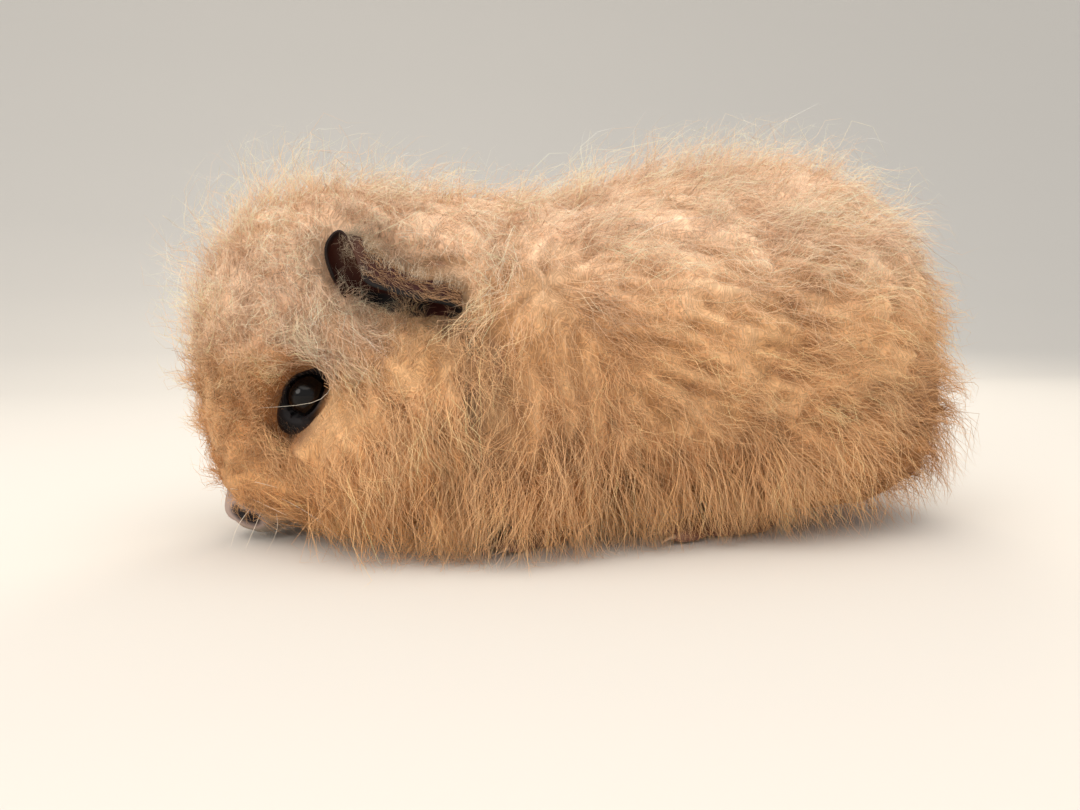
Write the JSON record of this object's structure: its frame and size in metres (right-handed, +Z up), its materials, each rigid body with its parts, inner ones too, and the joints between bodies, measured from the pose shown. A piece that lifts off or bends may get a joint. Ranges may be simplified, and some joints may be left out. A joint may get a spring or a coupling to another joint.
{
  "type": "guinea pig",
  "caption": "Young woolly buff guinea pig, crouched on its feet with its nose low: a still, life-size animal model with a fluffy coat.",
  "frame": {"origin": "on the floor, under the middle of the body's bounding box", "axes": "+Z up, the head towards -X and the rump towards +X, the animal's left side towards -Y; the X-Z plane is the body's plane of symmetry"},
  "size_m": [0.197, 0.099, 0.098],
  "materials": {
    "coat": "matte woolly fur, pale cream buff on the back and ochre buff on the flanks and cheeks",
    "foot_skin": "soft pinkish-brown skin with short fine hair",
    "ear_skin": "thin dark maroon skin, almost black at the rim, with sparse fine hair",
    "eye": "wet, glossy, nearly black",
    "nose_skin": "bare damp grey-brown skin round the nostrils",
    "claw": "horn, satin and slightly translucent"
  },
  "bodies": {
    "root": {"head": "coat", "lower_jaw": "coat", "neck": "coat", "trunk": "coat", "foreleg_left": "coat", "foreleg_right": "coat", "hindleg_left": "coat", "hindleg_right": "coat", "forefoot_left": "foot_skin", "forefoot_right": "foot_skin", "hindfoot_left": "foot_skin", "hindfoot_right": "foot_skin", "ear_left": "ear_skin", "ear_right": "ear_skin", "eye_left": "eye", "eye_right": "eye", "nose": "nose_skin"}
  },
  "joints": []
}
